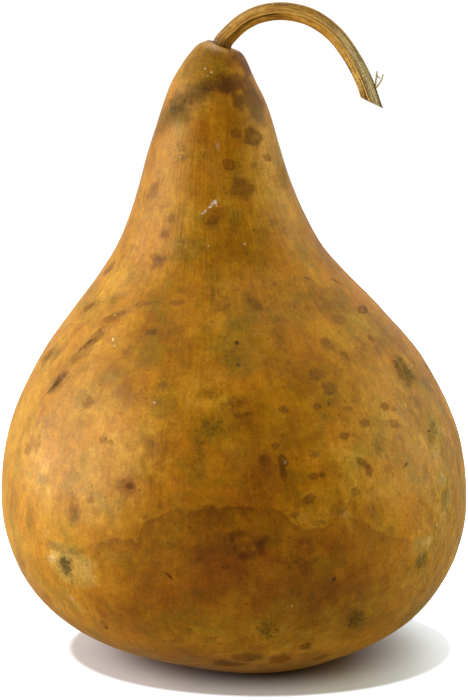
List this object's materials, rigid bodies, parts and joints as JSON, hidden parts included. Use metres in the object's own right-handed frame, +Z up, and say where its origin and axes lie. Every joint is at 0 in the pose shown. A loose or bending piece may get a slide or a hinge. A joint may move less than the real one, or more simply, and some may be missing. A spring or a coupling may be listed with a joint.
{
  "type": "dried bottle gourd",
  "caption": "Dried bottle gourd with a round belly, tapering neck and arched dry stem, standing on a small flat spot.",
  "frame": {"origin": "middle of the footprint, on the surface that the gourd stands on", "axes": "+Z up, +X to the side that the stem arches to, +Y to the back"},
  "size_m": [0.2004, 0.1996, 0.2824],
  "materials": {
    "dried_shell": "smooth hard dried rind, satin, ochre with brown and olive mould stains",
    "dry_stem": "matt dry fibrous stalk, tan to olive brown with dark fissures"
  },
  "bodies": {
    "root": {"gourd_shell": "dried_shell", "stem": "dry_stem"}
  },
  "joints": []
}
